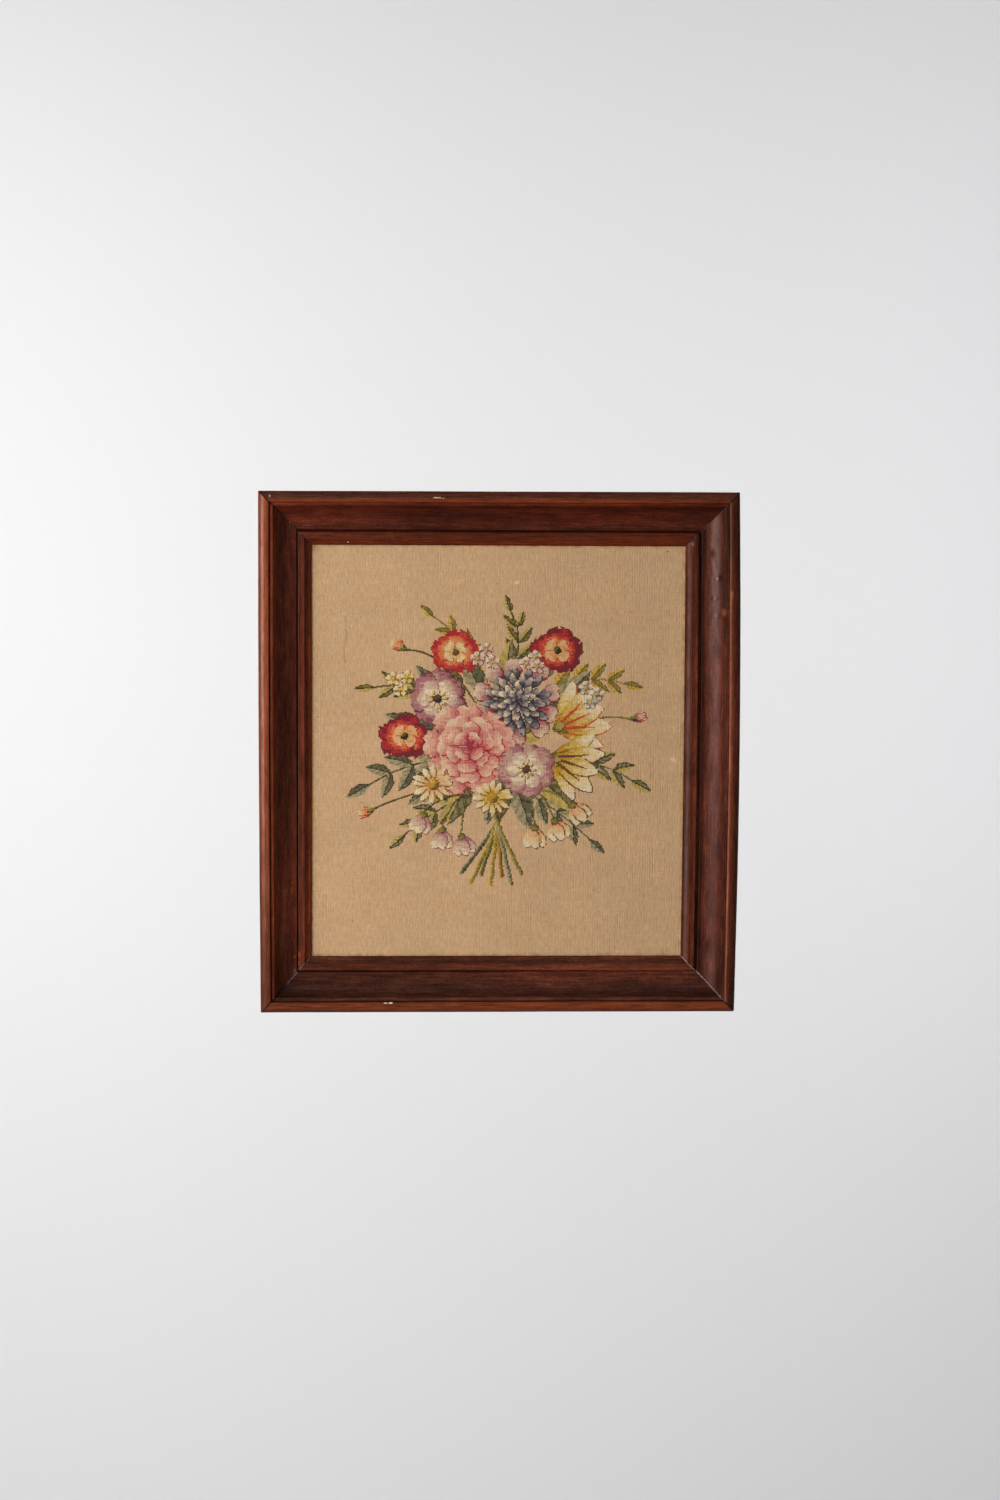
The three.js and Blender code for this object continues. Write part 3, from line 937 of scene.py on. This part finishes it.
# Light sprays that reach out past the flowers: start, bend, end, pairs of leaves, their size and yarns
for row in (
    ((-34, -6), (-78, -6), (-116, -30), 3, 34, 15, SEAS),
    ((-34, 30), (-76, 66), (-112, 58), 3, 26, 11, OLIVES),
    ((-8, 60), (-22, 96), (-58, 122), 3, 23, 10, GOLDS),
    ((14, 70), (24, 100), (12, 126), 3, 24, 10, OLIVES),
    ((34, 50), (80, 74), (114, 62), 4, 26, 12, GOLDS),
    ((44, -8), (90, -4), (122, -26), 3, 29, 13, MIXED),
    ((20, -34), (56, -52), (84, -80), 3, 27, 12, SEAS),
    ((-24, -38), (-58, -52), (-84, -76), 3, 27, 12, MIXED),
):
    spray(*row)

# Broad leaves behind the flowers: root, turn, length, width, yarns and curl
for row in (
    (-52, 18, -78, 52, 20, SEAS, 0.10),
    (-40, 44, -52, 48, 18, SEAS, 0.12),
    (-34, -20, -112, 54, 21, SEAS, -0.16),
    (-22, -26, -140, 46, 20, MIXED, -0.18),
    (-4, -30, -166, 36, 16, SEAS, -0.10),
    (14, -30, 150, 44, 20, SEAS, 0.16),
    (34, -22, 124, 50, 20, MIXED, 0.14),
    (46, -4, 98, 52, 19, SEAS, 0.10),
    (44, 40, 58, 52, 19, SEAS, -0.14),
    (32, 62, 34, 44, 17, MIXED, 0.12),
    (-14, 52, -22, 46, 18, SEAS, -0.12),
    (-30, 50, -38, 42, 16, OLIVES, 0.10),
    (6, 62, 6, 40, 16, MIXED, 0.06),
    (-2, 26, 4, 44, 22, SEAS, 0.06),
    (10, 8, 60, 40, 22, MIXED, 0.06),
    (2, -14, 170, 34, 22, SEAS, 0.06),
):
    leaf(*row)

# Buds and bells on thin stalks, then the flowers from the back to the front
for start, through, end in (
    ((-20, 44), (-50, 92), (-82, 92)),
    ((20, 60), (46, 100), (60, 98)),
    ((50, 20), (94, 36), (120, 30)),
    ((-40, -30), (-84, -38), (-112, -52)),
):
    stem(start, through, end, 1.5, OLIVES[:3])
bud(-82, 92, -62, 17, CORALS)
bud(120, 30, 78, 16, PINKS)
bud(-112, -52, -112, 16, CORALS)
for x, z, turn in ((-66, -54, 196), (-50, -68, 180), (-33, -74, 166)):
    bell(x, z, turn, 22, LILACS, (-26, -40))
for x, z, turn in ((34, -66, 178), (51, -60, 158), (66, -46, 140)):
    bell(x, z, turn, 23, PEACHES, (28, -36))

trumpet(50, 20, 66, 54, CREAMS, "brick")
trumpet(46, -4, 108, 52, CREAMS, "umber")
poppy(54, 92, 25, REDS)
poppy(-84, 14, 25, REDS, squash=0.78)
poppy(-38, 90, 23, CORALS, heart="umber")
windflower(-54, 48, 27, MAUVES, "ink")
dahlia(18, 46, 34, SLATES, ["wine", "rose deep", "mauve", "lilac", "pearl", "blush"])
peony(-26, 2, 42, PINKS, "crimson")
windflower(26, -16, 26, LILACS, "plum")
daisy(-58, -30, 19, PEACHES)
daisy(-4, -42, 18, CREAMS)
for yarns, places in (
    (LILACS, ((34, 86), (26, 80), (36, 77), (-10, 92), (-18, 84), (-5, 81))),
    (SLATES[2:], ((80, 58), (90, 52), (84, 45))),
    (CREAMS, ((-88, 56), (-94, 66), (-82, 67))),
):
    for x, z in places:
        speckle(x, z, 6.5, yarns)

# Every cell of the loom is half a rib wide. The mesh has two strips to a cell, so each rib is rounded by
# four. A strip is one face while its yarn stays the same, up to a few picks, and faces share their corners.
RIB_DEEP = 0.00012
RIB_RISE = (0.0, 0.5, 1.0, 0.5)
FACE_PICKS = 8
SLACK = 0.00035
HEM_TURN = 0.0011

# How the ribs vary in depth along the warp, how far they wander and how much of them wear has left, each
# with the size of its changes. Wear has left more on the right. Near the slips the cloth is held straight,
# and the bow of the old frame has opened the sight at its sides.
# The painted shade between the ribs grows with their depth, so it is stronger on the right too
RIB_DEPTH = 0.65
DEPTH_CHANGE = 2.6
DEPTH_SPAN = 0.009
RIB_APART = 0.37
WANDER = 0.00050
WANDER_SPAN = (0.016, 0.018)
LEFT_BY_WEAR = 0.90
WEAR_CHANGE = 0.7
WEAR_SPAN = (0.035, 0.045)
MORE_TO_RIGHT = 1.6
SLACK_SPAN = (0.07, 0.09)
HELD_WITHIN = 0.02
OPENED = 0.0008

# Light and dust have darkened and yellowed every wool by this much
AGED = (0.725, 0.65, 0.545, 1.0)

# Soiling on the ground. Each row, in millimetres: right and up from the middle of the cloth and its reach
# both ways. Then its colour and how well it covers.
SOILED = [
    (-137, 108, 1, 14, "#7d5f3e", 0.40),
    (-138.5, 88, 1.2, 17, "#8a6e50", 0.35),
    (-169, 20, 3.6, 210, "#9c7030", 0.60),
    (-166.5, 184, 6.5, 6.5, "#8e6a32", 0.45),
    (153, 181.5, 1.6, 0.9, "#5d4a34", 0.75),
    (160, -7, 3.5, 2.8, "#dcc29b", 0.45),
    (16.5, 153, 2.8, 1.8, "#dfcbab", 0.50),
    (-124, 121, 1, 1.4, "#8a6a44", 0.60),
    (89, -126, 1.2, 1.2, "#8a6e50", 0.50),
    (-75, -158, 1.4, 1, "#946f45", 0.50),
]

cloth_low, cloth_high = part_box("tapestry")
crest_y = cloth_low.y
sight_x = frame_wide / 2 - SIGHT_EDGE
sight_z = frame_high / 2 - SIGHT_EDGE


def strip_marks():
    """For each line between two strips, the picks at which a face ends on one side of it or the other."""
    level = np.unique(np.append(np.arange(0, picks, FACE_PICKS), picks))
    marks = [np.union1d(np.flatnonzero(column[1:] != column[:-1]) + 1, level) for column in woven.T]
    lines = [marks[0]]
    for here, after in zip(marks, marks[1:] + [marks[-1]]):
        lines += [here, np.union1d(here, after)]
    return marks, lines


def weave_point(line, pick):
    """Where a line of the loom crosses a pick: its place on the hung cloth, its painted shade, from 0 on a
    rib, painted lighter, to 1 between two, painted darker, and how far in from the slips it lies."""
    across = line * RIB_PITCH / 4 / 1000
    up = pick * PICK / 1000
    x = cloth_low.x + across
    z = cloth_low.z + up * (cloth_high.z - cloth_low.z) / (picks * PICK / 1000)
    inset = min(sight_x + OPENED - abs(x - slips_x), sight_z - abs(z - middle_z)) / HELD_WITHIN
    free = min(max(inset, 0.0), 1.0)
    wander = WANDER * drift(x, z, WANDER_SPAN, 9.0)
    if line in (0, 4 * RIBS):
        wander = 0.0
    slack = SLACK * (0.5 + drift(x, z, SLACK_SPAN, 2.0)) * free
    rise = RIB_RISE[line % 4]
    uneven = RIB_DEPTH + DEPTH_CHANGE * drift(line // 4 * RIB_APART, z, (1, DEPTH_SPAN), 4.0)
    worn = (LEFT_BY_WEAR + MORE_TO_RIGHT * (x - slips_x)) * (1 + WEAR_CHANGE * drift(x, z, WEAR_SPAN, 13.0))
    depth = max(uneven, 0.0) * worn
    y = crest_y + RIB_DEEP * (1 - rise) * depth + max(slack, 0.0)
    return (x + wander * free, y, z), 0.5 + (0.5 - rise) * depth, inset * HELD_WITHIN


def cloth_mesh():
    """The woven cloth, hung behind the slips, with its yarns' colours."""
    marks, lines = strip_marks()
    first = np.concatenate([[0], np.cumsum([len(line) for line in lines])])
    placed = [weave_point(i, k) for i, line in enumerate(lines) for k in line]
    verts, rib_shade, margin = (list(column) for column in zip(*placed))
    faces, codes = [], []
    for cell, mark in enumerate(marks):
        for strip in (2 * cell, 2 * cell + 1):
            left, right = lines[strip], lines[strip + 1]
            left_at = first[strip] + np.searchsorted(left, mark)
            right_at = first[strip + 1] + np.searchsorted(right, mark)
            for k in range(len(mark) - 1):
                up_right = range(right_at[k], right_at[k + 1] + 1)
                down_left = range(left_at[k + 1], left_at[k] - 1, -1)
                faces.append((*up_right, *down_left))
                codes.append(woven[mark[k], cell])
    # The hem turns back at all four edges, so the cloth has its thickness there
    count = len(verts)
    bottom = [int(first[i]) for i in range(len(lines))]
    top = [int(first[i + 1]) - 1 for i in range(len(lines))]
    right_side = list(range(int(first[-2]), int(first[-1])))
    left_side = list(range(int(first[1]) - 1, int(first[0]) - 1, -1))
    rim = bottom[:-1] + right_side[:-1] + top[:0:-1] + left_side[:-1]
    for k in rim:
        verts.append((verts[k][0], verts[k][1] + HEM_TURN, verts[k][2]))
        rib_shade.append(rib_shade[k])
        margin.append(margin[k])
    for k in range(len(rim)):
        n = (k + 1) % len(rim)
        faces.append((rim[k], count + k, count + n, rim[n]))
        codes.append(0)
    mesh = bpy.data.meshes.new("woven_tapestry")
    mesh.from_pydata(verts, [], faces)
    dyes = np.array([linear(YARNS[name]) for name in yarn_names], np.float32) * AGED
    sizes = np.array([len(face) for face in faces])
    colours = dyes[np.array(codes)].repeat(sizes, 0)
    mesh.color_attributes.new("yarn", "FLOAT_COLOR", "CORNER").data.foreach_set("color", colours.ravel())
    for label, values in (("rib_shade", rib_shade), ("margin", margin)):
        mesh.attributes.new(label, "FLOAT", "POINT").data.foreach_set("value", np.array(values, np.float32))

    # One flat lay-out of the front, with the hem turned out beside it
    flat = np.array(verts)[:, [0, 2]] - [slips_x, middle_z]
    flat[count:] *= 1 + 2 * HEM_TURN / (cloth_high.x - cloth_low.x)
    flat = flat / (1.02 * (cloth_high.z - cloth_low.z)) + 0.5
    corners = flat[np.concatenate(faces)].astype(np.float32)
    mesh.uv_layers.new(name="OFBake").data.foreach_set("uv", corners.ravel())
    mesh.shade_smooth()
    return mesh


def weft_faced_wool(name):
    """Fine wool beaten down over cotton warps. The ribs are the warps and each pick shows as a short bead, so
    the colour is broken both ways. Age has left it matt and uneven in tone, with specks and a soiled edge.
    Painted shade darkens it between the ribs and towards the right, and painted light lifts the ribs' crests."""
    material = bpy.data.materials.new(name)
    tree = node_tree(material)
    place = add(tree, "TexCoord", out="Object")
    yarn = add(tree, "Attribute", out="Color", attribute_name="yarn")
    rib_shade = add(tree, "Attribute", out="Fac", attribute_name="rib_shade")
    margin = add(tree, "Attribute", out="Fac", attribute_name="margin")

    # The wool differs in shade pick by pick, rib by rib, in slow bands of a few picks and in patches
    tones = {}
    for label, wide, high, dark, light in (
        ("bead", 0.0024, 0.0013, 0.90, 1.09),
        ("rib", 0.0016, 0.0070, 0.84, 1.12),
        ("band", 0.0180, 0.0022, 0.95, 1.045),
        ("patch", 0.0550, 0.0400, 0.95, 1.04),
        ("yellowing", 0.0300, 0.0220, 0.0, 0.30),
        ("browned", 0.0080, 0.0080, -0.5, 1.3),
    ):
        scaled = add(tree, "VectorMath", {0: place, 1: (1 / wide, 1, 1 / high)}, operation="MULTIPLY")
        look = {"Vector": scaled, "Scale": 1.0, "Detail": 3.0, "Roughness": 0.6}
        tone = add(tree, "TexNoise", look)
        tones[label] = add(tree, "MapRange", {0: tone, 1: 0.3, 2: 0.7, 3: dark, 4: light})
    across = add(tree, "SeparateXYZ", {0: place}, out="X")
    # Painted shade: the cloth darkens a little towards the right, away from the window light
    painted_shade_to_right = add(tree, "MapRange", {0: across, 1: -0.17, 2: 0.17, 3: 1.01, 4: 0.96})
    # Painted shade between the ribs and painted light on their crests
    deep = add(tree, "MapRange", {0: rib_shade, 1: 0.0, 2: 1.0, 3: 1.02, 4: 0.93}, clamp=False)
    shade = tones["bead"]
    for tone in (tones["rib"], tones["band"], tones["patch"], painted_shade_to_right, deep):
        shade = add(tree, "Math", {0: shade, 1: tone}, operation="MULTIPLY")

    # Dust and old moisture have browned a narrow uneven margin beside the slips
    edge = add(tree, "Math", {0: margin}, operation="ABSOLUTE")
    beside = add(tree, "MapRange", {0: edge, 1: 0.0, 2: 0.0032, 3: 0.75, 4: 0.0})
    browned = add(tree, "Math", {0: tones["browned"], 1: beside}, operation="MULTIPLY", use_clamp=True)
    colour = yarn
    for cover, over, blend in (
        (1.0, shade, "MULTIPLY"),
        (tones["yellowing"], linear("#fdf0d2"), "MULTIPLY"),
        (browned, linear("#8e6630"), "MIX"),
    ):
        colour = add(tree, "Mix", {0: cover, 6: colour, 7: over}, out=2, data_type="RGBA", blend_type=blend)
    marks = [
        ((slips_x + x, cloth_low.y, middle_z + z), (wide, 0.01, high), tint, cover, 0.5)
        for x, z, wide, high, tint, cover in (metres(row, 4) for row in SOILED)
    ]
    colour = marked(tree, colour, place, marks)
    speck = add(tree, "TexVoronoi", {"Vector": place, "Scale": 42.0}, out="Distance")
    speck = add(tree, "MapRange", {0: speck, 1: 0.035, 2: 0.055, 3: 0.40, 4: 0.0})
    colour = add(tree, "Mix", {0: speck, 6: colour, 7: linear("#6b4a2c")}, out=2, data_type="RGBA")

    height = add(tree, "Math", {0: tones["bead"], 1: tones["band"]}, operation="MULTIPLY")
    bump = add(tree, "Bump", {"Height": height, "Strength": 0.6, "Distance": 0.0008})
    look = {
        "Base Color": colour,
        "Roughness": 0.92,
        "Specular IOR Level": 0.25,
        "Sheen Weight": 0.15,
        "Sheen Roughness": 0.5,
        "Normal": bump,
    }
    shader = add(tree, "BsdfPrincipled", look)
    add(tree, "OutputMaterial", {"Surface": shader})
    return material


tapestry = put("woven_tapestry", cloth_mesh())
tapestry.data.materials.append(weft_faced_wool("weft_faced_wool"))
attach(tapestry, "root")
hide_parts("tapestry")

# STUDIO
# A pale sweep of paper: a level floor that curves up behind, far enough back for the part to be seen from
# all sides.
FLOOR_BELOW = 1.6
SWEEP_BACK = 2.2
SWEEP_ROUND = 0.9
SWEEP_HIGH = 4.2
SWEEP_WIDE = 4.5
SWEEP_FRONT = 4.0

floor_z = cad_low.z - FLOOR_BELOW
section = [(-SWEEP_FRONT, floor_z)]
for t in np.linspace(0, math.pi / 2, 21):
    section.append((SWEEP_BACK - SWEEP_ROUND * (1 - math.sin(t)), floor_z + SWEEP_ROUND * (1 - math.cos(t))))
section.append((SWEEP_BACK, floor_z + SWEEP_HIGH))
sweep_mesh = bpy.data.meshes.new("studio_sweep")
sweep_verts = [(x, y, z) for x in (-SWEEP_WIDE, SWEEP_WIDE) for y, z in section]
row = len(section)
sweep_mesh.from_pydata(sweep_verts, [], [(k, k + 1, k + 1 + row, k + row) for k in range(row - 1)])
sweep_mesh.shade_smooth()
sweep = put("studio_sweep", sweep_mesh)
paper = bpy.data.materials.new("pale_paper")
paper_tree = node_tree(paper)
look = {"Base Color": linear("#e7e8e9"), "Roughness": 0.95, "Specular IOR Level": 0.1}
paper_shader = add(paper_tree, "BsdfPrincipled", look)
add(paper_tree, "OutputMaterial", {"Surface": paper_shader})
sweep_mesh.materials.append(paper)

# The soft light of one wide window to the left, a weaker light from above, and two lamps behind for the
# paper. The room is dim on the right, so the coves that face it stay dark. Each row: place from the frame's
# middle, size, watts, colour, what it aims at and its spread in degrees.
LAMPS = {
    "window_left": ((-1.90, -1.50, -0.05), (1.9, 2.4), 92, "#fffaf4", (0, 0, 0), 180),
    "room_above": ((0.1, -1.6, 2.2), (1.6, 1.2), 1.5, "#e8eeff", (0, 0, 0), 90),
    "paper_left": ((-2.3, 0.5, 0.5), (0.6, 2.6), 14, "#fbfcff", (-0.4, 2.2, 0.3), 110),
    "paper_right": ((2.3, 0.5, 0.3), (0.6, 2.6), 12, "#fbfaff", (0.4, 2.2, 0.4), 110),
}
centre = Vector((middle_x, (cad_low.y + cad_high.y) / 2, middle_z))
for name, (place, size, watts, tint, aim, opening) in LAMPS.items():
    light = bpy.data.lights.new(name, "AREA")
    light.shape = "RECTANGLE"
    light.size, light.size_y = size
    light.energy = watts
    light.color = linear(tint)[:3]
    light.spread = math.radians(opening)
    lamp = put(name, light)
    lamp.location = centre + Vector(place)
    lamp.rotation_euler = (centre + Vector(aim) - lamp.location).to_track_quat("-Z", "Y").to_euler()

# The room's own light is dimmer towards the right
world = bpy.data.worlds.new("pale_room")
bpy.context.scene.world = world
room = node_tree(world)
way = add(room, "TexCoord", out="Generated")
rightward = add(room, "SeparateXYZ", {0: way}, out="X")
dimming = {0: rightward, 1: -1.0, 2: 0.4, 3: 0.24, 4: 0.11}
level = add(room, "MapRange", dimming, interpolation_type="SMOOTHSTEP")
glow = add(room, "Background", {"Color": linear("#f6f6fa"), "Strength": level})
add(room, "OutputWorld", {"Surface": glow})

# The camera stands nearly square to the frame, a hand's breadth to the left of its middle and above it
camera_data = bpy.data.cameras.new("camera")
camera_data.lens = 50
camera_data.sensor_width = 36
camera = put("camera", camera_data)
camera.location = (-0.0554, -1.8912, -0.0851)
camera.rotation_euler = Euler((math.radians(85.938), math.radians(-0.22), math.radians(-1.705)), "XYZ")
bpy.context.scene.camera = camera
bpy.context.scene.view_settings.view_transform = "Standard"
